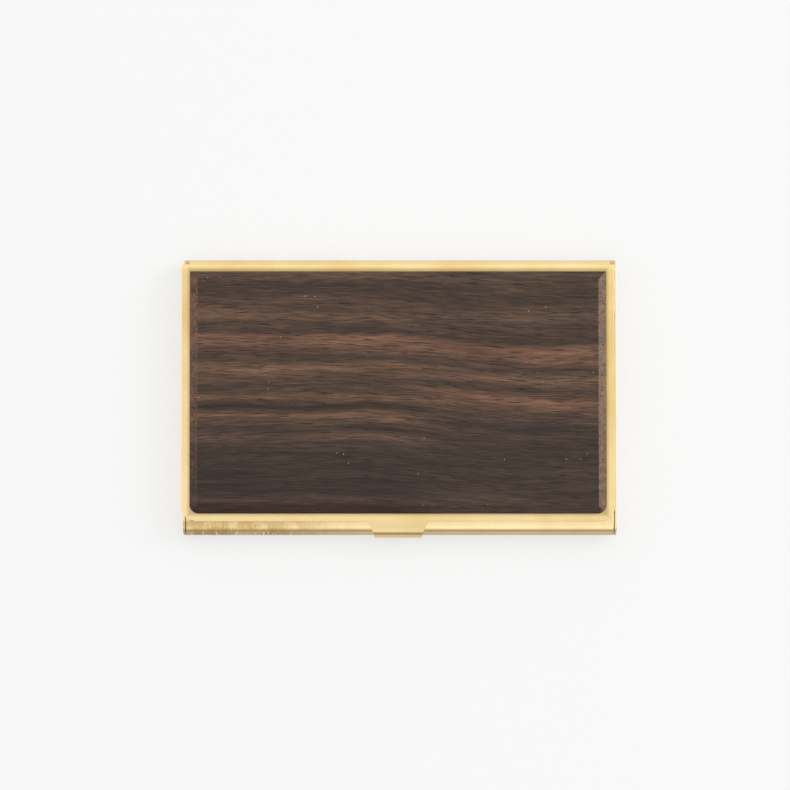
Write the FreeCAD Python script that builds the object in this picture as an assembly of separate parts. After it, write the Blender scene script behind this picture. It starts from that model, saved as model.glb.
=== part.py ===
import FreeCAD, Part
import math
import os

# A slim brass business card case. A folded base of thin sheet has half-round edges front and back; a flat
# lid with a bevelled wooden panel glued on it turns on two rivets hidden at the ends of the rear edge.
#
# Millimetres. X runs across the case, Y from the front (-) to the hinge (+), Z is up. The origin is the
# centre of the base's underside. The case is drawn closed and empty.

# ---- Overall sizes -------------------------------------------------------------------------------------
CASE_WIDTH = 94.7  # over the outer faces of the side walls
CASE_DEPTH = 60.4  # from the front of the rim to the back of the spine
BASE_HEIGHT = 5.5  # also the diameter of the rim and of the spine
SHEET = 0.5  # brass sheet that base, lid and lugs are made of

# ---- Base ----------------------------------------------------------------------------------------------
WALL_FOLD = 0.1  # inside radius of the fold from the bottom into a side wall
RIM_LIP = 2.95  # flat lip that runs back from the top of the rim
RIM_SEAM = 0.2  # open seam between an end of the rim and the side wall

# ---- Lid -----------------------------------------------------------------------------------------------
LID_GAP = 0.08  # the lid stands this far off the rim, the walls and the spine
LID_INSET = 0.1  # half of what the lid is narrower than the base
LID_SHIFT = -0.4  # the lid and its panel sit this far to the side of the base's middle, as assembled
LID_SETBACK = 3.1  # front edge of the lid, behind the front of the rim
LID_CORNER = 3.0  # radius of the lid's two front corners
CURL_ANGLE = 30.0  # how far the lid's rear edge follows the spine down, in degrees
TAB_ROOT_WIDTH = 12.9  # thumb tab where it leaves the lid
TAB_TIP_WIDTH = 9.9  # thumb tab at its free end
TAB_ROOT_RADIUS = 1.0  # hollow corner between the tab and the lid's front edge
TAB_FOLD = 1.45  # inside radius of the fold that turns the tab down in front of the rim
TAB_DROP = 1.2  # straight run of the tab below that fold

# ---- Wooden panel --------------------------------------------------------------------------------------
PANEL_SIDE_MARGIN = 1.85  # brass left showing at the lid's sides
PANEL_FRONT_MARGIN = 1.7  # brass left showing along the lid's front edge
PANEL_REAR_MARGIN = 0.05  # from the panel's rear edge to where the lid starts to curl
PANEL_THICKNESS = 1.8
PANEL_FRONT_CORNER = 2.0
PANEL_REAR_CORNER = 0.15
BEVEL_WIDTH = 1.8
BEVEL_DROP = 0.9
GLUE = 0.1  # thickness of the glue film
GLUE_INSET = 0.3  # the film stops this far short of the panel's edge

# ---- Hinge ---------------------------------------------------------------------------------------------
OPEN_ANGLE = 105.0  # how far the lid is meant to open, in degrees
STOP_MARGIN = 2.0  # the ear's shoulder meets its stop this many degrees beyond that
PIN_RADIUS = 0.75
PIN_HEAD_RADIUS = 1.25
PIN_HEAD = 0.3  # thickness of the formed head inside the spine
RUN_GAP = 0.04  # clearance of everything that turns on or beside the pin
EAR_FLOOR_GAP = 0.35  # from the ear to the inside of the bottom
SHOULDER_GAP = 0.05  # the ear's shoulder stands this far inside the spine's outer curve
SPINE_END_GAP = 0.1  # from the ear to the end of the spine
SWEEP_GAP = 0.15  # the lug's flange passes the spine by this much as it turns
LUG_REACH = 8.0  # length of the lug's flange along X
LUG_DEPTH = 7.0  # length of the lug's flange along Y
LUG_RIVET_PITCH = 2.4
LUG_RIVET_RADIUS = 0.55

# ---- Leaf spring on the floor of the base --------------------------------------------------------------
SPRING_SHEET = 0.25
SPRING_WIDTH = 12.0
SPRING_FOOT = 8.0  # flat, riveted end
SPRING_SPAN = 36.0  # length of the bowed part
SPRING_RISE = 2.9  # height of the bow above the foot
SPRING_END_BEND = 12.0  # radius of the two gentle bends at the ends of the bow
SPRING_RIVET_PITCH = 6.0
SPRING_RIVET_RADIUS = 0.6
SPRING_RIVET_HEAD = 0.3  # height of the heads above the foot
SINK_DEPTH = 0.2  # depth of every countersink
SINK_FLARE = 0.3  # a countersunk head is this much larger in radius than its shank

# ---- What follows from them ----------------------------------------------------------------------------
ROLL_RADIUS = BASE_HEIGHT / 2
AXIS_Y = CASE_DEPTH / 2 - ROLL_RADIUS  # centre line of the spine; the rim's is at -AXIS_Y
AXIS_Z = ROLL_RADIUS
WALL_OUTER = CASE_WIDTH / 2
WALL_INNER = WALL_OUTER - SHEET
RIM_HALF = WALL_INNER - RIM_SEAM
WALL_BEND = WALL_FOLD + SHEET  # the same fold's outer radius

EAR_OUTER = WALL_INNER - RUN_GAP
EAR_INNER = EAR_OUTER - SHEET
SPINE_HALF = EAR_INNER - SPINE_END_GAP
SHOULDER_RADIUS = ROLL_RADIUS - SHOULDER_GAP
EAR_RADIUS = ROLL_RADIUS - SHEET - EAR_FLOOR_GAP
SLOT_END = AXIS_Y - SHOULDER_RADIUS * math.sin(math.radians(OPEN_ANGLE + STOP_MARGIN - 90))

LID_BOTTOM = BASE_HEIGHT + LID_GAP
LID_TOP = LID_BOTTOM + SHEET
LID_HALF = WALL_OUTER - LID_INSET
LID_LEFT = LID_SHIFT - LID_HALF
LID_RIGHT = LID_SHIFT + LID_HALF
LID_FRONT = -CASE_DEPTH / 2 + LID_SETBACK
LID_BEND = ROLL_RADIUS + LID_GAP + SHEET / 2  # middle line of the sheet round the spine
TAB_BEND = TAB_FOLD + SHEET / 2
TAB_REACH = LID_BEND - TAB_BEND  # the tab stays flat this far in front of the rim's centre line

LUG_BOTTOM = LID_BOTTOM - SHEET
LUG_REAR = AXIS_Y - math.sqrt((ROLL_RADIUS + SWEEP_GAP) ** 2 - (LUG_BOTTOM - AXIS_Z) ** 2)
LUG_FRONT = LUG_REAR - LUG_DEPTH

PANEL_LEFT = LID_LEFT + PANEL_SIDE_MARGIN
PANEL_RIGHT = LID_RIGHT - PANEL_SIDE_MARGIN
PANEL_FRONT = LID_FRONT + PANEL_FRONT_MARGIN
PANEL_REAR = AXIS_Y - PANEL_REAR_MARGIN
PANEL_BOTTOM = LID_TOP + GLUE

PAST = 5.0  # cutting shapes run this far past what they cut


# ---- Helpers -------------------------------------------------------------------------------------------
def side_view(y, z):
    """A point of a profile seen from the side, which is then drawn out along X."""
    return FreeCAD.Vector(0, y, z)


def front_view(x, z):
    """A point of a profile seen from the front, which is then drawn out along Y."""
    return FreeCAD.Vector(x, 0, z)


def plan_view(x, y):
    """A point of an outline seen from above, which is then drawn out along Z."""
    return FreeCAD.Vector(x, y, 0)


ACROSS = {
    side_view: FreeCAD.Vector(1, 0, 0),
    front_view: FreeCAD.Vector(0, 1, 0),
    plan_view: FreeCAD.Vector(0, 0, 1),
}


def polar(centre, radius, degrees):
    """The point at an angle round a centre."""
    angle = math.radians(degrees)
    return centre[0] + radius * math.cos(angle), centre[1] + radius * math.sin(angle)


def line(view, a, b):
    return Part.makeLine(view(*a), view(*b))


def arc(view, centre, radius, first, last):
    """An arc round a centre, between two angles in degrees."""
    ends = [polar(centre, radius, angle) for angle in (first, (first + last) / 2, last)]
    return Part.Arc(*[view(*point) for point in ends]).toShape()


def drawn_out(view, edges, low, high):
    """A solid whose section is the closed outline, from one plane to another along the view's own axis."""
    across = ACROSS[view]
    face = Part.Face(Part.Wire(Part.__sortEdges__(edges)))
    face.translate(across * low)
    return face.extrude(across * (high - low))


def folded_sheet(view, start, heading, steps, thickness):
    """Edges round a bent sheet seen edge-on. Its middle line leaves the start at a heading in degrees. Each
    step is (length, 0) for a flat run or (radius, turn) for a bend, with left turns positive."""
    here = start
    runs = {1: [], -1: []}
    ends = []
    for size, turn in steps:
        ends.append([polar(here, side * thickness / 2, heading + 90) for side in runs])
        if turn == 0:
            ahead = polar(here, size, heading)
            for side, edges in runs.items():
                a = polar(here, side * thickness / 2, heading + 90)
                b = polar(ahead, side * thickness / 2, heading + 90)
                edges.append(line(view, a, b))
            here = ahead
        else:
            way = math.copysign(1, turn)
            centre = polar(here, way * size, heading + 90)
            first = heading - way * 90
            for side, edges in runs.items():
                edges.append(arc(view, centre, size - way * side * thickness / 2, first, first + turn))
            here = polar(centre, size, first + turn)
            heading += turn
    last = [polar(here, side * thickness / 2, heading + 90) for side in runs]
    return runs[1] + runs[-1] + [line(view, *ends[0]), line(view, *last)]


def outline(view, corners):
    """Edges of a closed outline through corners given as (across, along, radius)."""
    count = len(corners)
    edges = []
    joins = []
    for i, (u, v, radius) in enumerate(corners):
        before = math.atan2(corners[i - 1][1] - v, corners[i - 1][0] - u)
        after = math.atan2(corners[(i + 1) % count][1] - v, corners[(i + 1) % count][0] - u)
        half = (after - before) / 2
        back = radius / abs(math.tan(half))
        a = (u + back * math.cos(before), v + back * math.sin(before))
        b = (u + back * math.cos(after), v + back * math.sin(after))
        if radius > 0:
            reach = radius / abs(math.sin(half))
            inward = before + half if math.cos(half) > 0 else before + half + math.pi
            centre = (u + reach * math.cos(inward), v + reach * math.sin(inward))
            middle = (u + (reach - radius) * math.cos(inward), v + (reach - radius) * math.sin(inward))
            edges.append(Part.Arc(view(*a), view(*middle), view(*b)).toShape())
        joins.append((a, b))
    for i in range(count):
        a, b = joins[i - 1][1], joins[i][0]
        if math.dist(a, b) > 1e-6:
            edges.append(line(view, a, b))
    return edges


def box(low, high):
    """A box between two opposite corners."""
    size = [b - a for a, b in zip(low, high)]
    return Part.makeBox(*size, FreeCAD.Vector(*low))


def joined(*solids):
    """One solid from several that touch or overlap, with no leftover edges between them."""
    return solids[0].fuse(list(solids[1:])).removeSplitter()


def mirrored(shape):
    """The same piece for the other side of the case."""
    return shape.mirror(FreeCAD.Vector(0, 0, 0), FreeCAD.Vector(1, 0, 0))


def flush_rivet(foot, direction, length, radius, sunk_foot=True, sunk_tip=True):
    """A rivet whose heads fill countersinks, so that its ends are level with the sheets it holds."""
    direction = FreeCAD.Vector(*direction)
    foot = FreeCAD.Vector(*foot)
    tip = foot + direction * length
    rivet = Part.makeCylinder(radius, length, foot, direction)
    wide = radius + SINK_FLARE
    if sunk_foot:
        rivet = rivet.fuse(Part.makeCone(wide, radius, SINK_DEPTH, foot, direction))
    if sunk_tip:
        rivet = rivet.fuse(Part.makeCone(wide, radius, SINK_DEPTH, tip, -direction))
    return rivet.removeSplitter()


# ---- Base ----------------------------------------------------------------------------------------------
def base_shell():
    """One blank of sheet: bottom, rolled rim and rolled spine in one run, and two walls folded up."""
    middle = ROLL_RADIUS - SHEET / 2
    rolled = drawn_out(
        side_view,
        folded_sheet(
            side_view,
            (-AXIS_Y + RIM_LIP, BASE_HEIGHT - SHEET / 2),
            180,
            [(RIM_LIP, 0), (middle, 180), (2 * AXIS_Y, 0), (middle, 180)],
            SHEET,
        ),
        -RIM_HALF,
        RIM_HALF,
    )
    bend = WALL_BEND - SHEET / 2
    rise = BASE_HEIGHT - WALL_BEND
    tray = drawn_out(
        front_view,
        folded_sheet(
            front_view,
            (-WALL_OUTER + SHEET / 2, BASE_HEIGHT),
            -90,
            [(rise, 0), (bend, 90), (CASE_WIDTH - 2 * WALL_BEND, 0), (bend, 90), (rise, 0)],
            SHEET,
        ),
        -AXIS_Y,
        SLOT_END,
    )
    back = CASE_DEPTH / 2
    ends = outline(side_view, [(y, z, ROLL_RADIUS) for y, z in
                               ((-back, 0), (back, 0), (back, BASE_HEIGHT), (-back, BASE_HEIGHT))])
    wall = drawn_out(side_view, ends, WALL_INNER, WALL_OUTER)
    wall = wall.cut(box((0, -AXIS_Y, -PAST), (CASE_WIDTH, SLOT_END, BASE_HEIGHT + PAST)))
    slot = box((SPINE_HALF, SLOT_END, -PAST), (WALL_INNER, CASE_DEPTH, BASE_HEIGHT + PAST))
    shell = joined(rolled, tray, wall, mirrored(wall))
    for cutter in (slot, hinge_pin(), spring_rivets()):
        shell = shell.cut(cutter)
    for cutter in (slot, hinge_pin()):
        shell = shell.cut(mirrored(cutter))
    return shell.removeSplitter()


# ---- Lid -----------------------------------------------------------------------------------------------
def lid_plate():
    """A flat sheet whose rear edge curls over the spine and whose thumb tab folds down in front of the rim.
    Its outline is cut in plan and its bends in side view."""
    bent = drawn_out(
        side_view,
        folded_sheet(
            side_view,
            polar((AXIS_Y, AXIS_Z), LID_BEND, 90 - CURL_ANGLE),
            180 - CURL_ANGLE,
            [(LID_BEND, CURL_ANGLE), (2 * AXIS_Y + TAB_REACH, 0), (TAB_BEND, 90), (TAB_DROP, 0)],
            SHEET,
        ),
        LID_LEFT,
        LID_RIGHT,
    )
    rear = AXIS_Y + LID_BEND + SHEET
    tip = -rear
    root = TAB_ROOT_WIDTH / 2
    end = TAB_TIP_WIDTH / 2
    right_half = [
        (LID_HALF, rear, 0),
        (LID_HALF, LID_FRONT, LID_CORNER),
        (root, LID_FRONT, TAB_ROOT_RADIUS),
        (end, tip, 0),
    ]
    left_half = [(-x, y, radius) for x, y, radius in reversed(right_half)]
    blank = drawn_out(plan_view, outline(plan_view, right_half + left_half), 0, LID_TOP + PAST)
    blank.translate(FreeCAD.Vector(LID_SHIFT, 0, 0))
    return bent.common(blank).cut(lug_rivets()).removeSplitter()


def panel_outline(inset=0.0):
    """The wooden panel's outline, or the same outline moved inward."""
    left = PANEL_LEFT + inset
    right = PANEL_RIGHT - inset
    front = PANEL_FRONT + inset
    rear = PANEL_REAR - inset
    front_corner = max(PANEL_FRONT_CORNER - inset, 0)
    rear_corner = max(PANEL_REAR_CORNER - inset, 0)
    return outline(
        plan_view,
        [
            (right, rear, rear_corner),
            (right, front, front_corner),
            (left, front, front_corner),
            (left, rear, rear_corner),
        ],
    )


def wood_panel():
    """A flat panel with a wide, shallow bevel all round its top."""
    top = PANEL_BOTTOM + PANEL_THICKNESS
    shoulder = top - BEVEL_DROP
    slab = drawn_out(plan_view, panel_outline(), PANEL_BOTTOM, shoulder)
    foot = Part.Wire(Part.__sortEdges__(panel_outline()))
    foot.translate(FreeCAD.Vector(0, 0, shoulder))
    field = Part.Wire(Part.__sortEdges__(panel_outline(BEVEL_WIDTH)))
    field.translate(FreeCAD.Vector(0, 0, top))
    return joined(slab, Part.makeLoft([foot, field], True, True))


def panel_adhesive():
    """The film of glue between the panel and the lid."""
    return drawn_out(plan_view, panel_outline(GLUE_INSET), LID_TOP, PANEL_BOTTOM)


# ---- Hinge ---------------------------------------------------------------------------------------------
def hinge_lug():
    """The right-hand bracket: a flange under the lid, and an ear that turns on the pin in the slot between
    the spine and the wall. The ear's rear shoulder fills the slot when the case is shut and meets the
    slot's front end when the lid is open."""
    axis = (AXIS_Y, AXIS_Z)
    flange = box((EAR_OUTER - LUG_REACH, LUG_FRONT, LUG_BOTTOM), (EAR_OUTER, LUG_REAR, LID_BOTTOM))
    corner = (LUG_FRONT, LUG_BOTTOM)
    away = math.degrees(math.atan2(corner[1] - AXIS_Z, corner[0] - AXIS_Y))
    tangent = away + math.degrees(math.acos(EAR_RADIUS / math.dist(corner, axis)))
    shoulder_top = AXIS_Z + SHOULDER_RADIUS
    edges = [
        line(side_view, corner, (LUG_FRONT, LID_BOTTOM)),
        line(side_view, (LUG_FRONT, LID_BOTTOM), (LUG_REAR, LID_BOTTOM)),
        line(side_view, (LUG_REAR, LID_BOTTOM), (LUG_REAR, shoulder_top)),
        line(side_view, (LUG_REAR, shoulder_top), (AXIS_Y, shoulder_top)),
        arc(side_view, axis, SHOULDER_RADIUS, 90, 0),
        line(side_view, polar(axis, SHOULDER_RADIUS, 0), polar(axis, EAR_RADIUS, 0)),
        arc(side_view, axis, EAR_RADIUS, 0, tangent - 360),
        line(side_view, polar(axis, EAR_RADIUS, tangent), corner),
    ]
    ear = drawn_out(side_view, edges, EAR_INNER, EAR_OUTER)
    hole = Part.makeCylinder(
        PIN_RADIUS + RUN_GAP, CASE_WIDTH, FreeCAD.Vector(0, AXIS_Y, AXIS_Z), FreeCAD.Vector(1, 0, 0)
    )
    return joined(flange, ear).cut(hole).cut(lug_rivets())


def hinge_pin():
    """The right-hand rivet: sunk flush into the wall, with its formed head inside the hollow spine."""
    foot = EAR_INNER - RUN_GAP - PIN_HEAD
    shank = flush_rivet(
        (foot, AXIS_Y, AXIS_Z), (1, 0, 0), WALL_OUTER - foot, PIN_RADIUS, sunk_foot=False
    )
    head = Part.makeCylinder(
        PIN_HEAD_RADIUS, PIN_HEAD, FreeCAD.Vector(foot, AXIS_Y, AXIS_Z), FreeCAD.Vector(1, 0, 0)
    )
    return joined(shank, head)


def lug_rivets():
    """Two flush rivets through the lid and each lug's flange."""
    middle = EAR_OUTER - LUG_REACH / 2
    depth = (LUG_FRONT + LUG_REAR) / 2
    rivets = []
    for side in (-1, 1):
        for step in (-0.5, 0.5):
            foot = (side * (middle + step * LUG_RIVET_PITCH), depth, LUG_BOTTOM)
            rivets.append(flush_rivet(foot, (0, 0, 1), LID_TOP - LUG_BOTTOM, LUG_RIVET_RADIUS))
    return Part.makeCompound(rivets)


# ---- Leaf spring ---------------------------------------------------------------------------------------
SPRING_FRONT = -(SPRING_FOOT + SPRING_SPAN) / 2


def card_spring():
    """A strip bowed up from a riveted foot and down again to a toe that slides on the floor."""
    turn = 2 * math.atan(2 * SPRING_RISE / SPRING_SPAN)
    crown = SPRING_RISE / (1 - math.cos(turn)) - SPRING_END_BEND
    turn = math.degrees(turn)
    strip = drawn_out(
        side_view,
        folded_sheet(
            side_view,
            (SPRING_FRONT, SHEET + SPRING_SHEET / 2),
            0,
            [(SPRING_FOOT, 0), (SPRING_END_BEND, turn), (crown, -2 * turn), (SPRING_END_BEND, turn)],
            SPRING_SHEET,
        ),
        -SPRING_WIDTH / 2,
        SPRING_WIDTH / 2,
    )
    return strip.cut(spring_rivets())


def spring_rivets():
    """Two rivets through the spring's foot, flush under the base."""
    rivets = []
    for side in (-0.5, 0.5):
        place = (side * SPRING_RIVET_PITCH, SPRING_FRONT + SPRING_FOOT / 2)
        grip = SHEET + SPRING_SHEET
        shank = flush_rivet((*place, 0), (0, 0, 1), grip, SPRING_RIVET_RADIUS, sunk_tip=False)
        wide = SPRING_RIVET_RADIUS + SINK_FLARE
        head = Part.makeCylinder(wide, SPRING_RIVET_HEAD, FreeCAD.Vector(*place, grip))
        rivets.append(joined(shank, head))
    return Part.makeCompound(rivets)


# ---- Write one file for each piece ---------------------------------------------------------------------
PIECES = {
    "base_shell": base_shell(),
    "lid_plate": lid_plate(),
    "wood_panel": wood_panel(),
    "panel_adhesive": panel_adhesive(),
    "hinge_lug_right": hinge_lug(),
    "hinge_lug_left": mirrored(hinge_lug()),
    "lug_rivets": lug_rivets(),
    "hinge_pin_right": hinge_pin(),
    "hinge_pin_left": mirrored(hinge_pin()),
    "card_spring": card_spring(),
    "card_spring_rivets": spring_rivets(),
}

os.makedirs("parts", exist_ok=True)
for name, shape in PIECES.items():
    shape.exportStep(f"parts/{name}.step")
    bounds = shape.BoundBox
    print(f"{name}: {len(shape.Solids)} solid(s), {shape.Volume:.2f} mm3, valid {shape.isValid()},",
          f"z {bounds.ZMin:.2f} to {bounds.ZMax:.2f}")
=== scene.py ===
# %% [markdown]
# # A brass business card case with an ebony panel
# The case is two folded brass sheets and a slice of striped ebony. The base is one sheet: a bottom, two
# walls, and a half-round roll along the front and the back. The lid is a second sheet that lies on top,
# curls a little way over the rear roll, and carries the wood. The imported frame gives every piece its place;
# here the sheets get their rounded edges, and every surface gets its finish.

# %% Load the frame
import math

import bmesh
import bpy
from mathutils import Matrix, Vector


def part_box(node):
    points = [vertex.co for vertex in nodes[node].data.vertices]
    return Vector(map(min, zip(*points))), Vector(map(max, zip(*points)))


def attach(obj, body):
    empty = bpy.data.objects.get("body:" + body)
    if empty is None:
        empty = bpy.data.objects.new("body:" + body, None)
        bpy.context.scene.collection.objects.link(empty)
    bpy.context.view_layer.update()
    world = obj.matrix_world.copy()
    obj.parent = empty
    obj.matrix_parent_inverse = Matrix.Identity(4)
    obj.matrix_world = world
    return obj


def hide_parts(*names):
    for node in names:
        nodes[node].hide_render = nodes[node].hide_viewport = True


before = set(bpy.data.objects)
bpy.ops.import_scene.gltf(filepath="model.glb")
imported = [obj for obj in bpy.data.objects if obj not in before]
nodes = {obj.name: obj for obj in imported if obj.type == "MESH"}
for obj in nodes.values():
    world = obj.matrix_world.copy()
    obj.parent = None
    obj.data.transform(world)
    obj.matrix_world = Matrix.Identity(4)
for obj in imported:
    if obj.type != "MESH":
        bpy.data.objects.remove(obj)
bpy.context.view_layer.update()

MM = 0.001

# %% [markdown]
# ## Looking straight down
# A flat case shows best from above. The camera hangs over it like a copy-stand camera, tipped a degree or
# two towards the front edge, far enough away that the sides hardly converge. A long lens from a modest
# distance keeps a trace of perspective, so the rolls show on both long sides.

# %% Hang the camera
SENSOR = 36.0
VIEW_WIDTH = 172.4  # how much of the table the picture spans, at the height of the lid
CAMERA_DISTANCE = 520.0
CAMERA_ELEVATION = 88.4
LOOK_AT = Vector((-1.07, 0.44, 6.08))  # the point in the middle of the picture
NEAREST = 10.0  # the camera leaves out anything nearer than this or farther than the next
FARTHEST = 20000.0

camera = bpy.data.objects.new("camera", bpy.data.cameras.new("camera"))
bpy.context.scene.collection.objects.link(camera)
tip = math.radians(CAMERA_ELEVATION)
camera.location = (LOOK_AT + Vector((0, -math.cos(tip), math.sin(tip))) * CAMERA_DISTANCE) * MM
camera.rotation_euler = (math.radians(90) - tip, 0, 0)
camera.data.sensor_width = SENSOR
camera.data.lens = SENSOR * CAMERA_DISTANCE / VIEW_WIDTH
camera.data.clip_start = NEAREST * MM
camera.data.clip_end = FARTHEST * MM
bpy.context.scene.camera = camera
print("camera:", round(camera.data.lens, 1), "mm lens at", round(CAMERA_DISTANCE), "mm")

# %% [markdown]
# ## Colours and nodes
# Paint charts and screens give colours as sRGB hex values, but a renderer adds up light, so each one is
# turned to linear once, here. The second helper adds a shader node with its settings and its links, which
# keeps each material down to the steps that make its pattern. Some sockets go by number: a MapRange turns
# the range from 1 to 2 into the range from 3 to 4, and a Mix of colours takes them at 6 and 7.

# %% Two helpers
def linear(colour):
    """An sRGB hex colour as linear red, green, blue and alpha."""
    parts = [int(colour[i:i + 2], 16) / 255 for i in (1, 3, 5)]
    return [c / 12.92 if c <= 0.04045 else ((c + 0.055) / 1.055) ** 2.4 for c in parts] + [1.0]


def add(tree, kind, settings=None, inputs=None, output=0, stops=()):
    """Adds a node of one kind and returns one of its outputs.

    Settings are the node's own properties, inputs are values or links, and stops are a colour ramp's.
    """
    node = tree.nodes.new("ShaderNode" + kind)
    for name, value in (settings or {}).items():
        setattr(node, name, value)
    for i, (place, colour) in enumerate(stops):
        elements = node.color_ramp.elements
        element = elements[i] if i < len(elements) else elements.new(place)
        element.position = place
        element.color = colour
    for socket, value in (inputs or {}).items():
        if isinstance(value, bpy.types.NodeSocket):
            tree.links.new(value, node.inputs[socket])
        else:
            node.inputs[socket].default_value = value
    return node.outputs[output] if node.outputs else node


print("middle grey in linear light:", [round(c, 3) for c in linear("#808080")[:3]])

# %% [markdown]
# ## A lit white table and a bright room
# The case lies on a sheet of white acrylic lit from below, as on a product bench, so its shadow stays thin.
# The rest of the light comes from a bright ceiling, drawn as a dome, and a soft window on the right, which
# lays the faint shadow to the left. Bare metal shows what it reflects: the ceiling makes the flats and the
# tops of the rolls light, and the room's dimmer front wall, low down, gives the front roll its dark line.

# %% White table
TABLE = 3000.0
TABLE_GREY = "#898989"  # what the acrylic reflects; the rest of its brightness is its glow
TABLE_GLOW = 0.62
TABLE_ROUGHNESS = 0.8
TABLE_SHEEN = 0.2

table_mesh = bpy.data.meshes.new("table")
edge = TABLE / 2 * MM
corners = [(-edge, -edge, 0), (edge, -edge, 0), (edge, edge, 0), (-edge, edge, 0)]
table_mesh.from_pydata(corners, [], [(0, 1, 2, 3)])
table = bpy.data.objects.new("table", table_mesh)
bpy.context.scene.collection.objects.link(table)

acrylic = bpy.data.materials.new("white acrylic sheet")
acrylic.use_nodes = True
shader = acrylic.node_tree.nodes["Principled BSDF"]
shader.inputs["Base Color"].default_value = linear(TABLE_GREY)
shader.inputs["Roughness"].default_value = TABLE_ROUGHNESS
shader.inputs["Specular IOR Level"].default_value = TABLE_SHEEN
shader.inputs["Emission Color"].default_value = linear("#FFFFFF")
shader.inputs["Emission Strength"].default_value = TABLE_GLOW
table_mesh.materials.append(acrylic)
print("table:", TABLE / 1000, "m wide")

# %% Room light
CEILING = [  # how far up, as the sine of the elevation, and how bright
    (0.0, 1.0),
    (0.40, 1.15),
    (0.58, 1.34),
    (0.76, 1.22),
    (0.90, 1.11),
    (0.97, 1.03),
    (1.0, 1.01),
]
FRONT_WALL = "#897865"  # the room's front wall, low down: bare plaster in shade
WALL_TOP, WALL_FOOT = 0.70, 0.16  # it fades in between these, as sines of the elevation
WALL_SIDE, WALL_AHEAD = -0.1, -0.6  # and between these, from the room's sides to its front
WINDOW_PLACE = (1150, 420, 760)
WINDOW_SIZE = 700
WINDOW_RADIANCE = 4.4

world = bpy.data.worlds.new("bright room")
bpy.context.scene.world = world
world.use_nodes = True
sky = world.node_tree
sky.nodes.clear()
toward = add(sky, "SeparateXYZ", inputs={0: add(sky, "TexCoord", output="Generated")}).node.outputs
glow = add(sky, "ValToRGB", inputs={"Fac": toward["Z"]}, stops=[(up, (v, v, v, 1.0)) for up, v in CEILING])
low_down = add(
    sky, "MapRange", {"interpolation_type": "SMOOTHSTEP"},
    {"Value": toward["Z"], 1: WALL_TOP, 2: WALL_FOOT},
)
ahead = add(
    sky, "MapRange", {"interpolation_type": "SMOOTHSTEP"},
    {"Value": toward["Y"], 1: WALL_SIDE, 2: WALL_AHEAD},
)
dim = add(sky, "Math", {"operation": "MULTIPLY"}, {0: low_down, 1: ahead})
room = add(sky, "Mix", {"data_type": "RGBA"}, {"Factor": dim, 6: glow, 7: linear(FRONT_WALL)}, 2)
add(sky, "OutputWorld", inputs={"Surface": add(sky, "Background", inputs={"Color": room})})


def soft_light(name, place, size, radiance):
    """A square soft light at a place in millimetres, turned to the case."""
    lamp = bpy.data.objects.new(name, bpy.data.lights.new(name, "AREA"))
    bpy.context.scene.collection.objects.link(lamp)
    lamp.location = Vector(place) * MM
    lamp.rotation_euler = (-lamp.location).to_track_quat("-Z", "Y").to_euler()
    lamp.data.size = size * MM
    lamp.data.energy = radiance * math.pi * (size * MM) ** 2
    return lamp


soft_light("window right", WINDOW_PLACE, WINDOW_SIZE, WINDOW_RADIANCE)
bpy.context.scene.view_settings.view_transform = "Standard"
print("light: a dome and one soft window")

# %% [markdown]
# ## Satin brass
# The sheets are cartridge brass, rolled, then satin finished with a fine abrasive pad drawn along their
# length and left bare. The pad leaves short, shallow lines that blur reflections one way; handling leaves
# duller, browner patches. Brass is a metal, so its colour is the colour of its reflections, and its IOR
# stays at the default. Real pad lines are about 0.03 mm apart, too fine to see, so they are drawn coarser.
#
# Years in a pocket show on the thumb tab, which gets duller the further out it reaches. Painted shade goes on
# in three places: the brass is painted darker towards the hinge, the front roll darker low down, and a thin
# line on the lid darker where it meets the wood.

# %% Brass
PAD_LINE_LENGTH = 9.0
PAD_LINE_WIDTH = 0.14
PAD_LINE_TINT = (0.93, 1.05)  # darkest and lightest, against the sheet's own colour
PAD_LINE_DEPTH = 0.02
PAD_LINE_BUMP = 0.12  # strength
TARNISH_PATCH = 14.0
TARNISH_NOISE = (0.38, 0.72)  # where in the noise the tarnish starts, and where it is full
SATIN_ROUGHNESS = (0.27, 0.35)  # clean, and tarnished
HINGE_SHADE = 0.12  # painted shade: how much darker the brass is painted at the hinge than in the middle
HINGE_SHADE_REACH = 30.0
SHADE_AND_DIRT = "#D0CDC6"  # what painted shade and thumb dirt leave of the light that clean brass reflects
ROLL_SHADE_FROM = 4.9  # painted shade: the front roll is painted darker below this height
ROLL_SHADE_TO = 4.3
ROLL_FACE = (-28.4, -27.4)  # only the roll in front of this gets the painted shade, so the inside is left plain
LID_FACE = (5.8, 5.6)  # only the lid's upper face, above this, gets the painted shade beside the wood
WOOD_SHADE_WIDTH = 0.8  # of the painted shade that the wood lays on the lid beside it
SHADE_WIDER_BEHIND = Vector((0, 0.35, 0))  # the painted shade is wider along the rear
THUMBED_FROM = -25.5  # the thumb tab is duller the further it reaches out to the front
THUMBED_TO = -35.0
WELL_AWAY = 10.0  # added to a place to keep it out of the painted shade


def object_mm(tree):
    """Places on a piece, in millimetres."""
    here = add(tree, "TexCoord", output="Object")
    return add(tree, "VectorMath", {"operation": "SCALE"}, {0: here, "Scale": 1 / MM})


def shaded_and_browned(tree, place, colour, clean, brown):
    """Brass that goes duller between a clean place and a dull one, for painted shade and for thumb dirt."""
    amount = add(tree, "MapRange", inputs={"Value": place, 1: clean, 2: brown})
    return add(
        tree, "Mix", {"data_type": "RGBA", "blend_type": "MULTIPLY"},
        {"Factor": amount, 6: colour, 7: linear(SHADE_AND_DIRT)}, 2,
    )


def spared(tree, place, value, start, end):
    """A place taken well away from the painted shade where a value has passed from start to end."""
    far = add(tree, "MapRange", inputs={"Value": value, 1: start, 2: end, 3: 0.0, 4: WELL_AWAY})
    return add(tree, "Math", {"operation": "ADD"}, {0: place, 1: far})


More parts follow.
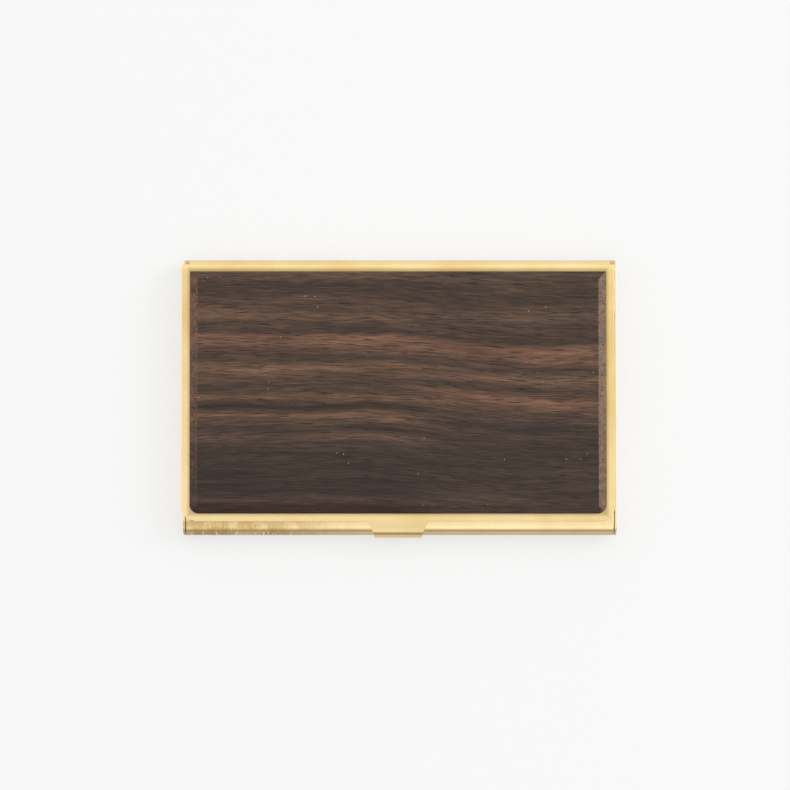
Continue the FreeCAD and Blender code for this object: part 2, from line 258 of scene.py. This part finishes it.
def beside(tree, here, low, high):
    """How far outside a box's outline a place is, seen from above, and 0 anywhere inside it."""
    off = add(tree, "VectorMath", {"operation": "SUBTRACT"}, {0: here, 1: (low + high) / 2})
    away = add(tree, "VectorMath", {"operation": "ABSOLUTE"}, {0: off})
    past = add(tree, "VectorMath", {"operation": "SUBTRACT"}, {0: away, 1: (high - low) / 2})
    outside = add(tree, "VectorMath", {"operation": "MAXIMUM"}, {0: past, 1: (0.0, 0.0, 0.0)})
    parts = add(tree, "SeparateXYZ", inputs={0: outside}).node.outputs
    return add(tree, "Math", {"operation": "MAXIMUM"}, {0: parts["X"], 1: parts["Y"]})


def satin_brass(name, bright, dull, rubbed_front=False, around=None):
    """Bare brass sheet with pad lines along X and soft patches of tarnish.

    The painted shade low on the front roll and the rubbing there come with rubbed_front. Around is the low
    and the high corner of a box that stands on the sheet and has a thin line of painted shade beside it.
    """
    material = bpy.data.materials.new(name)
    material.use_nodes = True
    tree = material.node_tree
    shader = tree.nodes["Principled BSDF"]
    here = object_mm(tree)
    along = add(
        tree, "Mapping", {"vector_type": "POINT"},
        {"Vector": here, "Scale": (1 / PAD_LINE_LENGTH, 1 / PAD_LINE_WIDTH, 1 / PAD_LINE_WIDTH)},
    )
    lines = add(tree, "TexNoise", inputs={"Vector": along, "Scale": 1.0, "Detail": 3.0, "Roughness": 0.6})
    patches = add(
        tree, "TexNoise",
        inputs={"Vector": here, "Scale": 1 / TARNISH_PATCH, "Detail": 4.0, "Roughness": 0.55},
    )
    parts = add(tree, "SeparateXYZ", inputs={0: here}).node.outputs
    # painted shade: the brass is painted darker towards the hinge, added to the tarnish patches
    reach = add(
        tree, "MapRange", inputs={"Value": parts["Y"], 1: -HINGE_SHADE_REACH, 2: HINGE_SHADE_REACH, 3: -HINGE_SHADE, 4: HINGE_SHADE}
    )
    graded = add(tree, "Math", {"operation": "ADD"}, {0: patches, 1: reach})
    starts, full = TARNISH_NOISE
    tarnish_and_shade = add(
        tree, "ValToRGB", inputs={"Fac": graded}, stops=[(starts, (0, 0, 0, 1)), (full, (1, 1, 1, 1))]
    )
    colour = add(
        tree, "Mix", {"data_type": "RGBA"}, {"Factor": tarnish_and_shade, 6: linear(bright), 7: linear(dull)}, 2
    )
    darkest, lightest = PAD_LINE_TINT
    streaks = add(tree, "MapRange", inputs={"Value": lines, 3: darkest, 4: lightest})
    colour = add(
        tree, "Mix", {"data_type": "RGBA", "blend_type": "MULTIPLY"},
        {"Factor": 1.0, 6: colour, 7: streaks}, 2,
    )
    clean, tarnished = SATIN_ROUGHNESS
    rough = add(tree, "MapRange", inputs={"Value": tarnish_and_shade, 3: clean, 4: tarnished})
    if rubbed_front:
        # painted shade: the front roll is painted darker low down
        up = spared(tree, parts["Z"], parts["Y"], *ROLL_FACE)
        colour = shaded_and_browned(tree, up, colour, ROLL_SHADE_FROM, ROLL_SHADE_TO)
        colour, rough = rubbed(tree, here, colour, rough)
    if around:
        # painted shade: a thin dark line on the lid beside the wood
        off = spared(tree, beside(tree, here, *around), parts["Z"], *LID_FACE)
        colour = shaded_and_browned(tree, off, colour, WOOD_SHADE_WIDTH, 0.0)
        colour = shaded_and_browned(tree, parts["Y"], colour, THUMBED_FROM, THUMBED_TO)
    bump = add(
        tree, "Bump", inputs={"Height": lines, "Strength": PAD_LINE_BUMP, "Distance": PAD_LINE_DEPTH * MM}
    )
    tree.links.new(colour, shader.inputs["Base Color"])
    tree.links.new(rough, shader.inputs["Roughness"])
    tree.links.new(bump, shader.inputs["Normal"])
    shader.inputs["Metallic"].default_value = 1.0
    return material


print("brass: pad lines every", PAD_LINE_WIDTH, "mm")

# %% [markdown]
# ## Where fingers have rubbed the front roll
# The front roll's left half has been rubbed crossways, as by a thumb looking for the tab. Handling has
# dulled the brass there, and short cross scratches have cut through to bright metal. It is the same brass
# with one more pattern, faded in by its place on the case.

# %% Rubbed stretch
RUBBED_FROM = -30.0  # fully rubbed to the left of this, in millimetres along the roll
RUBBED_TO = -4.0
RUBBED_BACK = (-26.6, -27.2)  # rubbing starts and is full, counted from the rear to the front
BLOTCHES = 0.22  # per millimetre
BLOTCH_NOISE = (0.36, 0.52)  # where in the noise a blotch starts, and where it is full
BLOTCH_LEAST = 0.45  # how dull the brass between the blotches is, of a blotch's dullness
HANDLED = "#D2C6B0"  # what handled brass keeps of the light that clean brass reflects
HANDLED_ROUGHER = 0.12
SCRATCH_WIDTH = 0.28
SCRATCH_LENGTH = 2.6
SCRATCH_TILT = 0.14
SCRATCH_NOISE = (0.56, 0.68)
FRESH_CUT = "#F6E2AE"


def rubbed(tree, here, colour, rough):
    """Dulled, cross-scratched brass along the left half of the front roll."""
    parts = add(tree, "SeparateXYZ", inputs={0: here}).node.outputs
    blotch = add(
        tree, "TexNoise", inputs={"Vector": here, "Scale": BLOTCHES, "Detail": 3.0, "Roughness": 0.6}
    )
    fade = add(tree, "MapRange", inputs={"Value": parts["X"], 1: RUBBED_TO, 2: RUBBED_FROM})
    starts, full = RUBBED_BACK
    front = add(tree, "MapRange", inputs={"Value": parts["Y"], 1: starts, 2: full})
    starts, full = BLOTCH_NOISE
    patch = add(tree, "MapRange", inputs={"Value": blotch, 1: starts, 2: full, 3: BLOTCH_LEAST, 4: 1.0})
    place = add(tree, "Math", {"operation": "MULTIPLY"}, {0: fade, 1: front})
    amount = add(tree, "Math", {"operation": "MULTIPLY"}, {0: place, 1: patch})
    dulled = add(
        tree, "Mix", {"data_type": "RGBA", "blend_type": "MULTIPLY"},
        {"Factor": amount, 6: colour, 7: linear(HANDLED)}, 2,
    )
    across = add(tree, "Mapping", inputs={
        "Vector": here, "Rotation": (0.0, 0.0, SCRATCH_TILT),
        "Scale": (1 / SCRATCH_WIDTH, 1 / SCRATCH_LENGTH, 1 / SCRATCH_LENGTH)})
    lines = add(tree, "TexNoise", inputs={"Vector": across, "Scale": 1.0, "Detail": 3.0, "Roughness": 0.6})
    starts, full = SCRATCH_NOISE
    cut = add(tree, "MapRange", inputs={"Value": lines, 1: starts, 2: full})
    bright = add(tree, "Math", {"operation": "MULTIPLY"}, {0: cut, 1: place})
    scratched = add(
        tree, "Mix", {"data_type": "RGBA"}, {"Factor": bright, 6: dulled, 7: linear(FRESH_CUT)}, 2
    )
    rougher = add(tree, "Math", {"operation": "MULTIPLY_ADD"}, {0: amount, 1: HANDLED_ROUGHER, 2: rough})
    return scratched, rougher


panel_low, panel_high = (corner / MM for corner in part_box("wood_panel"))
wood_foot = (panel_low, panel_high + SHADE_WIDER_BEHIND)
lid_brass = satin_brass("satin brass lid", "#F5DBA4", "#E4C482", around=wood_foot)
base_brass = satin_brass("satin brass base", "#F7DFAC", "#EACF98", rubbed_front=True)
fitting_brass = satin_brass("satin brass fittings", "#EACD93", "#D0B074")
print("brass: lid, base and fittings")

# %% [markdown]
# ## Oiled striped ebony
# The panel is flat-sawn striped ebony, sanded and oiled. Its figure is bands of blackish heartwood and
# red-brown wood that run along the case and sink a little towards the right. Finer streaks a fraction of a
# millimetre wide run inside the bands, and the open pores show as short dark dashes. The oil leaves a low,
# soft sheen. The main bands are listed, one list for each end of the board, as two colour ramps
# that blend into each other; everything finer, from the waver of the bands to the pores, is noise stretched
# along the grain.

# %% Ebony
BLACK, COAL, DARK, UMBER, WINE = "#2E211A", "#372A22", "#3D2E25", "#463528", "#321B16"
BROWN, WARM, RUSSET, RED = "#503C2F", "#584132", "#614736", "#6B4B39"
BANDS_LEFT = [  # the main bands, from the rear edge towards the front, in millimetres
    (0, WARM), (3, DARK), (10, WARM), (13, DARK), (14.5, RED), (18.5, DARK), (21.5, RUSSET),
    (25, DARK), (27.5, WARM), (29.5, BLACK), (31.5, RUSSET), (34, COAL), (36, BROWN), (38, COAL),
    (48, BLACK), (50, DARK), (51, WINE),
]
BANDS_RIGHT = [
    (0, UMBER), (2.5, DARK), (8, BROWN), (13, DARK), (15, RED), (19, DARK), (21, RUSSET),
    (23.5, DARK), (26, RED), (28.5, BROWN), (31, DARK), (38, COAL), (50, DARK),
]
BAND_SINK = 3.0  # how much lower the bands lie at the right end
SINKING = (-10, 36)  # where they start and stop sinking, from the board's middle
BLENDING = (-2, 16)  # where the left bands start to give way to the right ones, and where they have
WAVES = [((28.0, 6.0), 2.0, 0.8), ((7.0, 1.6), 3.0, 0.28)]  # length and width, detail, and swing
STREAK = (16.0, 0.75)  # length and width of the streaks inside a band
FIBRE = (4.0, 0.22)  # of bundles of fibres; single fibres are ten times finer and would not show
PORE = (4.6, 0.15)  # of the open pores, seen as dashes
PATCH = (26.0, 1.7)  # of lighter and darker stretches of a band
TINTED_BY = (0.25, 0.75)  # how much of a noise's range goes into its darkest and its lightest tint
PATCH_TINT = (0.72, 1.34)
STREAK_TINT = (0.5, 1.46)
FIBRE_TINT = (0.42, 1.46)
PORE_NOISE = (0.39, 0.35)  # where in the noise a pore starts, and where it is deepest
PORE_DARK = 0.9
PORE_SHADE = "#1D130E"
MOTTLE = 0.9  # spots of an end bevel, per millimetre
MOTTLE_NOISE = (0.3, 0.7)
END_BEVELS = [  # painted highlight on the end bevels: which way each faces, its least and its most paleness, and its tone
    (-0.4, -0.1, 0.95, "#7D5A46"),
    (0.4, 0.2, 0.85, "#846D59"),
]
LEFT_FRONT_SHARE = 0.25  # how much of its painted highlight the left bevel keeps at its front, of what it has at the rear
SPECK = 1.1  # between places for pale mineral specks, which come in clusters
SPECK_EDGE = (0.13, 0.08)  # where a speck starts and is full, in such spaces from its place
SPECK_CHOSEN = (0.52, 0.6)  # which of the places hold one
SPECK_CLUSTER = 8.0
CLUSTER_NOISE = (0.58, 0.64)
SPECK_PALE = 0.75
SPECK_TONE = "#B5A48C"
OILED = (0.48, 0.36)  # roughness of dark and of light streaks
OILED_NOISE = (0.3, 0.7)
GRAIN_DEPTH = 0.04
GRAIN_BUMP = 0.4
WOOD_IOR = 1.5
WOOD_SHEEN = 0.26


def stretched(tree, vector, size, detail, roughness):
    """A noise drawn out along the grain; size is its length and width in millimetres."""
    long, wide = size
    scaled = add(tree, "Mapping", inputs={"Vector": vector, "Scale": (1 / long, 1 / wide, 1 / wide)})
    return add(tree, "TexNoise", inputs={
        "Vector": scaled, "Scale": 1.0, "Detail": detail, "Roughness": roughness})


def striped_ebony(name, low, high):
    """Oiled ebony with its grain along X, for a board between two corners given in millimetres."""
    material = bpy.data.materials.new(name)
    material.use_nodes = True
    tree = material.node_tree
    shader = tree.nodes["Principled BSDF"]
    here = object_mm(tree)
    parts = add(tree, "SeparateXYZ", inputs={0: here}).node.outputs
    middle = (low.x + high.x) / 2

    # where a point lies across the bands
    starts, ends = SINKING
    sink = add(
        tree, "MapRange", {"interpolation_type": "SMOOTHSTEP"},
        {"Value": parts["X"], 1: middle + starts, 2: middle + ends, 3: 0.0, 4: BAND_SINK},
    )
    level = add(tree, "Math", {"operation": "ADD"}, {0: parts["Y"], 1: sink})
    for size, detail, swing in WAVES:
        wave = stretched(tree, here, size, detail, 0.5)
        bend = add(tree, "MapRange", inputs={"Value": wave, 3: -swing, 4: swing})
        level = add(tree, "Math", {"operation": "ADD"}, {0: level, 1: bend})

    # the bands, which change from one figure to the other along the board
    place = add(tree, "MapRange", inputs={"Value": level, 1: high.y, 2: low.y})
    width = high.y - low.y
    left, right = (
        add(tree, "ValToRGB", inputs={"Fac": place}, stops=[(y / width, linear(tone)) for y, tone in bands])
        for bands in (BANDS_LEFT, BANDS_RIGHT)
    )
    starts, ends = BLENDING
    along = add(
        tree, "MapRange", {"interpolation_type": "SMOOTHSTEP"},
        {"Value": parts["X"], 1: middle + starts, 2: middle + ends},
    )
    colour = add(tree, "Mix", {"data_type": "RGBA"}, {"Factor": along, 6: left, 7: right}, 2)

    # lighter and darker stretches, streaks and fibres
    bent = add(tree, "CombineXYZ", inputs={0: parts["X"], 1: level, 2: parts["Z"]})
    streaks = stretched(tree, bent, STREAK, 5.0, 0.68)
    fibres = stretched(tree, bent, FIBRE, 3.0, 0.6)
    patches = stretched(tree, bent, PATCH, 2.0, 0.55)
    least, most = TINTED_BY
    for noise, tints in ((patches, PATCH_TINT), (streaks, STREAK_TINT), (fibres, FIBRE_TINT)):
        dark, light = tints
        tint = add(tree, "MapRange", inputs={"Value": noise, 1: least, 2: most, 3: dark, 4: light})
        colour = add(
            tree, "Mix", {"data_type": "RGBA", "blend_type": "MULTIPLY"},
            {"Factor": 1.0, 6: colour, 7: tint}, 2,
        )

    # the two end bevels get a mottled painted highlight, paler on the right one, which faces the window
    facing = add(tree, "SeparateXYZ", inputs={0: add(tree, "TexCoord", output="Normal")}).node.outputs
    mottle = add(tree, "TexNoise", inputs={"Vector": here, "Scale": MOTTLE, "Detail": 5.0, "Roughness": 0.7})
    graded = add(
        tree, "MapRange", inputs={"Value": parts["Y"], 1: low.y, 2: high.y, 3: LEFT_FRONT_SHARE, 4: 1.0}
    )
    starts, full = MOTTLE_NOISE
    for (toward_end, least, most, tone), spread in zip(END_BEVELS, (graded, 1.0)):
        end = add(
            tree, "MapRange", inputs={"Value": facing["X"], 1: toward_end / 2, 2: toward_end, 4: spread}
        )
        paler = add(tree, "MapRange", inputs={"Value": mottle, 1: starts, 2: full, 3: least, 4: most})
        amount = add(tree, "Math", {"operation": "MULTIPLY"}, {0: end, 1: paler})
        colour = add(tree, "Mix", {"data_type": "RGBA"}, {"Factor": amount, 6: colour, 7: linear(tone)}, 2)

    # open pores and a few pale specks
    pores = stretched(tree, bent, PORE, 1.0, 0.4)
    edge, core = PORE_NOISE
    open_pore = add(tree, "MapRange", inputs={"Value": pores, 1: edge, 2: core, 3: 0.0, 4: PORE_DARK})
    colour = add(
        tree, "Mix", {"data_type": "RGBA"}, {"Factor": open_pore, 6: colour, 7: linear(PORE_SHADE)}, 2
    )
    cells = add(tree, "TexVoronoi", inputs={"Vector": here, "Scale": 1 / SPECK}).node.outputs
    edge, core = SPECK_EDGE
    dot = add(tree, "MapRange", inputs={"Value": cells["Distance"], 1: edge, 2: core})
    starts, full = SPECK_CHOSEN
    chosen = add(tree, "MapRange", inputs={"Value": cells["Color"], 1: starts, 2: full})
    clusters = add(tree, "TexNoise", inputs={"Vector": here, "Scale": 1 / SPECK_CLUSTER, "Detail": 1.0})
    starts, full = CLUSTER_NOISE
    some = add(tree, "MapRange", inputs={"Value": clusters, 1: starts, 2: full, 3: 0.0, 4: SPECK_PALE})
    marked = add(tree, "Math", {"operation": "MULTIPLY"}, {0: dot, 1: chosen})
    speck = add(tree, "Math", {"operation": "MULTIPLY"}, {0: marked, 1: some})
    colour = add(
        tree, "Mix", {"data_type": "RGBA"}, {"Factor": speck, 6: colour, 7: linear(SPECK_TONE)}, 2
    )

    starts, full = OILED_NOISE
    dark, light = OILED
    rough = add(tree, "MapRange", inputs={"Value": streaks, 1: starts, 2: full, 3: dark, 4: light})
    depth = add(tree, "Math", {"operation": "MULTIPLY_ADD"}, {0: open_pore, 1: -1.0, 2: fibres})
    bump = add(tree, "Bump", inputs={"Height": depth, "Strength": GRAIN_BUMP, "Distance": GRAIN_DEPTH * MM})
    tree.links.new(colour, shader.inputs["Base Color"])
    tree.links.new(rough, shader.inputs["Roughness"])
    tree.links.new(bump, shader.inputs["Normal"])
    shader.inputs["IOR"].default_value = WOOD_IOR
    shader.inputs["Specular IOR Level"].default_value = WOOD_SHEEN
    return material


ebony = striped_ebony("oiled striped ebony", panel_low, panel_high)
print("ebony:", len(BANDS_LEFT), "bands on the left and", len(BANDS_RIGHT), "on the right")

# %% [markdown]
# ## Bending sheet metal
# A press bends a flat blank, so a sheet is drawn here the same way: a thin middle surface made of flat
# regions and bends that share their edges, then thickened. A bevel rounds the cut edges, as deburring does,
# and weighted normals keep the flats looking flat beside the bends.

# %% Sheet metal tools
SHEET = 0.5
THINNED = 0.012  # a sheet is drawn this much thinner than it is, to stay inside its CAD piece
DEBURR = 0.12
BEND_STEPS = 28
HOLE_POINTS = 24
MERGE = 0.002  # points nearer than this are one point


def turn(centre, radius, degrees):
    """The point at an angle round a centre, both flat."""
    angle = math.radians(degrees)
    return centre[0] + radius * math.cos(angle), centre[1] + radius * math.sin(angle)


def sweep(centre, radius, first, last, steps=BEND_STEPS):
    """Points along an arc, both ends included."""
    return [turn(centre, radius, first + (last - first) * i / steps) for i in range(steps + 1)]


def circle(centre, radius):
    """Points round a whole circle."""
    return sweep(centre, radius, 0, 360 - 360 / HOLE_POINTS, HOLE_POINTS - 1)


def bend(bm, rows):
    """A strip of quads between rows of points that have the same count."""
    rings = [[bm.verts.new(Vector(point) * MM) for point in row] for row in rows]
    for low, high in zip(rings, rings[1:]):
        for i in range(len(low) - 1):
            bm.faces.new((low[i], low[i + 1], high[i + 1], high[i]))


def flat(bm, *loops):
    """A flat region inside its first loop of points, with a hole for each further loop."""
    edges = []
    for loop in loops:
        ring = [bm.verts.new(Vector(point) * MM) for point in loop]
        edges += [bm.edges.new((ring[i - 1], ring[i])) for i in range(len(ring))]
    bmesh.ops.triangle_fill(bm, use_beauty=True, edges=edges)


def level_flats(obj):
    """Lets large faces set the shading, so that flats look flat right up to a rounded edge."""
    weighted = obj.modifiers.new("flat faces", "WEIGHTED_NORMAL")
    weighted.weight = 100
    weighted.keep_sharp = True


def soften(obj, width, angle=40, segments=3):
    """Rounds an object's edges."""
    bevel = obj.modifiers.new("eased edges", "BEVEL")
    bevel.width = width * MM
    bevel.segments = segments
    bevel.limit_method = "ANGLE"
    bevel.angle_limit = math.radians(angle)
    bevel.use_clamp_overlap = False
    level_flats(obj)


def piece(name, bm, material, body, slot, *stands_for):
    """A mesh object of the case, riding on a body in place of its plain CAD pieces."""
    mesh = bpy.data.meshes.new(name)
    bm.to_mesh(mesh)
    bm.free()
    mesh.polygons.foreach_set("use_smooth", [True] * len(mesh.polygons))
    mesh.materials.append(material)
    obj = bpy.data.objects.new(name, mesh)
    bpy.context.scene.collection.objects.link(obj)
    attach(obj, body)
    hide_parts(*stands_for)
    return obj


def sheet_metal(name, bm, material, body, slot, *stands_for):
    """A bent sheet from its middle surface."""
    bmesh.ops.remove_doubles(bm, verts=bm.verts, dist=MERGE * MM)
    bmesh.ops.recalc_face_normals(bm, faces=bm.faces)
    obj = piece(name, bm, material, body, slot, *stands_for)
    thick = obj.modifiers.new("sheet", "SOLIDIFY")
    thick.thickness = (SHEET - THINNED) * MM
    thick.offset = 0.0
    thick.use_even_offset = True
    soften(obj, DEBURR)
    return obj


print("sheet:", SHEET, "mm thick, edges eased by", DEBURR, "mm")

# %% [markdown]
# ## The base
# The base is one blank. Its long edges are rolled into half rounds, and its short edges are folded up into
# walls whose ends follow the rolls. Between each end of the spine and the wall there is a slot, where the
# lid's hinge ears turn; a thin seam shows between the front roll and the walls.

# %% Base shell
base_low, base_high = (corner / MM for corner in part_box("base_shell"))
ear_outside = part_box("hinge_lug_right")[1].x / MM
HEIGHT = base_high.z
ROLL = HEIGHT / 2  # outer radius of both rolls
AXIS_Y = base_high.y - ROLL  # middle of the spine, where the lid turns; the front roll mirrors it
WALL = base_high.x - SHEET / 2  # middle of the wall's thickness
FOLD = 0.35  # radius of the wall's fold, at the middle of the sheet
FOLD_STEPS = 8
SEAM = 0.13  # between the front roll and each wall
RIM_LIP = 2.95  # how far the front roll goes on flat, over the cards
EAR_GAP = 0.1  # between the spine's ends and the hinge ears
EAR_INNER = ear_outside - SHEET
STOP_ANGLE = 107.0  # the opening at which the ears' shoulders meet the end of their slots
SHOULDER_GAP = 0.05  # the shoulders stand this far inside the spine's outer curve
SHOULDER = ROLL - SHOULDER_GAP
SLOT_END = AXIS_Y - SHOULDER * math.sin(math.radians(STOP_ANGLE - 90))
RIM_HALF = base_high.x - SHEET - SEAM
SPINE_HALF = EAR_INNER - EAR_GAP
SUNK_PIN = 1.07  # radius of a hole that just takes the pin's sunk head
SUNK_RIVET = 0.915  # and of one that takes a rivet of the leaf spring
SPRING_RIVETS = [(-3.0, -18.0), (3.0, -18.0)]


def base_shell():
    """The base's middle surface."""
    bm = bmesh.new()
    middle = ROLL - SHEET / 2
    low = SHEET / 2
    fold_x = WALL - FOLD
    fold_z = low + FOLD
    front = (-AXIS_Y, ROLL)
    rear = (AXIS_Y, ROLL)
    rivet = circle((0, 0), SUNK_RIVET)
    holes = [[(x + px, y + py, low) for px, py in rivet] for x, y in SPRING_RIVETS]
    flat(
        bm,
        [
            (-RIM_HALF, -AXIS_Y, low), (RIM_HALF, -AXIS_Y, low), (fold_x, -AXIS_Y, low),
            (fold_x, SLOT_END, low), (SPINE_HALF, SLOT_END, low), (SPINE_HALF, AXIS_Y, low),
            (-SPINE_HALF, AXIS_Y, low), (-SPINE_HALF, SLOT_END, low), (-fold_x, SLOT_END, low),
            (-fold_x, -AXIS_Y, low),
        ],
        *holes,
    )
    for y, z, first, last, reach in ((*front, -90, -270, RIM_HALF), (*rear, -90, 90, SPINE_HALF)):
        bend(bm, [[(-reach, *p), (reach, *p)] for p in sweep((y, z), middle, first, last)])
    top = HEIGHT - low
    bend(bm, [[(-RIM_HALF, y, top), (RIM_HALF, y, top)] for y in (-AXIS_Y, -AXIS_Y + RIM_LIP)])
    for side in (-1, 1):
        fold = sweep((fold_x, fold_z), FOLD, -90, 0, FOLD_STEPS)
        bend(bm, [[(side * x, y, z) for x, z in fold] for y in (-AXIS_Y, SLOT_END)])
        outline = [(SLOT_END, fold_z), (-AXIS_Y, fold_z)]
        outline += sweep(front, ROLL - THINNED / 2, -90, -270)
        outline += sweep(rear, ROLL - THINNED / 2, 90, -90)
        outline += [(SLOT_END, THINNED / 2)]
        flat(bm, *([(side * WALL, y, z) for y, z in loop] for loop in (outline, circle(rear, SUNK_PIN))))
    return bm


shell = sheet_metal("folded_base", base_shell(), base_brass, "base", "brass", "base_shell")
print("base:", len(shell.data.polygons), "faces in its middle surface")

# %% [markdown]
# ## The lid
# The lid is cut in plan with two rounded front corners and a thumb tab, then bent: the rear edge curls a
# little way over the spine, round the hinge's own centre, so the gap below it is even. The tab stays flat a
# little longer than the roll does, then folds down in front of it, which gives the thumb an edge to push.

# %% Lid sheet
lid_low, lid_high = (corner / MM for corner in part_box("lid_plate"))
LID_Z = lid_high.z - SHEET / 2
LID_BEND = LID_Z - ROLL
LID_SETBACK = 3.1  # how far the lid's front edge lies behind the front roll's
LID_FRONT = base_low.y + LID_SETBACK
LID_CORNER = 3.0
CURL = 30.0  # degrees that the rear edge goes on round the spine
TAB_ROOT = 6.45  # half the tab's width where it leaves the lid, and at its end
TAB_TIP = 4.95
TAB_FILLET = 1.0
TAB_BEND = 2.3  # radius of the tab's fold, at the middle of the sheet
TAB_DROP = 0.6  # how far the tab goes on straight down below its fold
CORNER_STEPS, FILLET_STEPS, CURL_STEPS, TAB_STEPS = 12, 6, 10, 16
TAB_FOLD_Y = -(AXIS_Y + LID_BEND - TAB_BEND)
TAB_END_Y = -(AXIS_Y + LID_BEND + SHEET)
LID_MIDDLE = (lid_low.x + lid_high.x) / 2


def tab_half(y):
    """Half the thumb tab's width at a place in front of the lid, seen from above."""
    return TAB_ROOT + (TAB_TIP - TAB_ROOT) * (LID_FRONT - y) / (LID_FRONT - TAB_END_Y)


def lid_sheet():
    """The lid's middle surface."""
    bm = bmesh.new()
    right = lid_high.x
    corner = (right - LID_CORNER, LID_FRONT + LID_CORNER)
    slope = math.degrees(math.atan2(LID_FRONT - TAB_END_Y, TAB_ROOT - TAB_TIP))
    lean = 90 - slope
    back = TAB_FILLET * math.tan(math.radians((90 - lean) / 2))
    fillet = (LID_MIDDLE + TAB_ROOT + back, LID_FRONT - TAB_FILLET)
    half_outline = [(right, AXIS_Y)]
    half_outline += sweep(corner, LID_CORNER, 0, -90, CORNER_STEPS)
    half_outline += sweep(fillet, TAB_FILLET, 90, 180 - lean, FILLET_STEPS)
    half_outline += [(LID_MIDDLE + tab_half(TAB_FOLD_Y), TAB_FOLD_Y)]
    mirrored = [(2 * LID_MIDDLE - x, y) for x, y in reversed(half_outline)]
    flat(bm, [(x, y, LID_Z) for x, y in half_outline + mirrored])
    rear = sweep((AXIS_Y, ROLL), LID_BEND, 90, 90 - CURL, CURL_STEPS)
    bend(bm, [[(lid_low.x, *p), (right, *p)] for p in rear])
    tab = sweep((TAB_FOLD_Y, LID_Z - TAB_BEND), TAB_BEND, 90, 180, TAB_STEPS)
    tab += [(tab[-1][0], tab[-1][1] - TAB_DROP)]
    bend(bm, [[(LID_MIDDLE - tab_half(y), y, z), (LID_MIDDLE + tab_half(y), y, z)] for y, z in tab])
    return bm


lid = sheet_metal("lid_sheet", lid_sheet(), lid_brass, "lid", "brass", "lid_plate")
print("lid:", len(lid.data.polygons), "faces in its middle surface")

# %% [markdown]
# ## The ebony panel
# The panel is cut a little smaller than the lid, so that a narrow brass frame shows all round. Its top
# edges are planed to a wide, shallow bevel that meets in mitres at the corners; the front corners are
# rounded to follow the lid's. The shape is a stack of outlines, each drawn further in and higher up.

# %% Ebony panel
BEVEL_WIDTH = 1.8
BEVEL_DROP = 0.9
FRONT_CORNER = 2.0
REAR_CORNER = 0.15
SHARPEST = 0.03  # a corner gets tighter up the bevel, but not tighter than this
CORNER_POINTS = 8
SANDED = {1: 0.15, 2: 0.45}  # how round the lower and the upper edge of the bevel are


def panel_ring(inset, z):
    """The panel's outline moved inward, at a height."""
    ring = []
    for x_side, y_side in ((1, 1), (-1, 1), (-1, -1), (1, -1)):
        radius = REAR_CORNER if y_side > 0 else FRONT_CORNER
        inner = max(radius - inset, SHARPEST)
        x = panel_high.x - inset - inner if x_side > 0 else panel_low.x + inset + inner
        y = panel_high.y - inset - inner if y_side > 0 else panel_low.y + inset + inner
        middle = math.degrees(math.atan2(y_side, x_side))
        ring += [(px, py, z) for px, py in sweep((x, y), inner, middle - 45, middle + 45, CORNER_POINTS)]
    return ring


def ebony_panel():
    """A closed slab with a bevelled top."""
    bm = bmesh.new()
    shoulder = panel_high.z - BEVEL_DROP
    top = panel_high.z
    corners = [(0.0, panel_low.z), (0.0, shoulder), (BEVEL_WIDTH, top), (2 * BEVEL_WIDTH, top)]
    stack = [corners[0]]
    for i, radius in SANDED.items():
        before, here, after = (Vector(corners[i + step]) for step in (-1, 0, 1))
        back = radius * math.tan((here - before).angle(after - here) / 2)
        start = here + (before - here).normalized() * back
        end = here + (after - here).normalized() * back
        for t in (0, 0.25, 0.5, 0.75, 1):
            stack.append((1 - t) ** 2 * start + 2 * t * (1 - t) * here + t * t * end)
    rings = [[bm.verts.new(Vector(point) * MM) for point in panel_ring(*step)] for step in stack]
    for low, high in zip(rings, rings[1:]):
        for i in range(len(low)):
            bm.faces.new((low[i - 1], low[i], high[i], high[i - 1]))
    bm.faces.new(list(reversed(rings[0])))
    bm.faces.new(rings[-1])
    return bm


panel = piece("ebony_panel", ebony_panel(), ebony, "lid", "ebony", "wood_panel")
level_flats(panel)
print("panel:", [round(v, 1) for v in panel_high - panel_low], "mm")

# %% [markdown]
# ## Small fittings
# Inside are the pieces that make it work: two lugs riveted under the lid, two pins through the walls, and a
# bowed leaf of spring bronze held by two rivets. They are already the right shape, so they keep their CAD
# meshes; welding their split vertices lets the same bevel round them.

# %% Fittings
GLUE_CLOUDS = 0.6  # per millimetre
GLUE_TONES = [(0.3, "#4A3B25"), (0.7, "#6B583A")]  # where in the noise, and what colour
GLUE_ROUGHNESS = 0.45
WELDED = 0.001  # split vertices nearer than this are one
FITTING_SEGMENTS = 2

glue = bpy.data.materials.new("cured amber glue")
glue.use_nodes = True
tree = glue.node_tree
shader = tree.nodes["Principled BSDF"]
film = add(tree, "TexNoise", inputs={"Vector": object_mm(tree), "Scale": GLUE_CLOUDS, "Detail": 3.0})
tones = add(tree, "ValToRGB", inputs={"Fac": film}, stops=[(at, linear(tone)) for at, tone in GLUE_TONES])
tree.links.new(tones, shader.inputs["Base Color"])
shader.inputs["Roughness"].default_value = GLUE_ROUGHNESS

spring_bronze = satin_brass("rolled spring bronze", "#D9AE84", "#B98A62")
FINISHES = {  # what each fitting is made of, and how far its edges are eased
    "hinge_lug_left": (fitting_brass, 0.04),
    "hinge_lug_right": (fitting_brass, 0.04),
    "hinge_pin_left": (fitting_brass, 0.02),
    "hinge_pin_right": (fitting_brass, 0.02),
    "lug_rivets": (fitting_brass, 0.02),
    "card_spring": (spring_bronze, 0.04),
    "card_spring_rivets": (fitting_brass, 0.04),
    "panel_adhesive": (glue, 0.0),
}
for name, (material, ease) in FINISHES.items():
    obj = nodes[name]
    obj.data.materials.clear()
    obj.data.materials.append(material)
    if ease:
        weld = obj.modifiers.new("joined", "WELD")
        weld.merge_threshold = WELDED * MM
        soften(obj, ease, segments=FITTING_SEGMENTS)
print("fittings:", ", ".join(FINISHES))
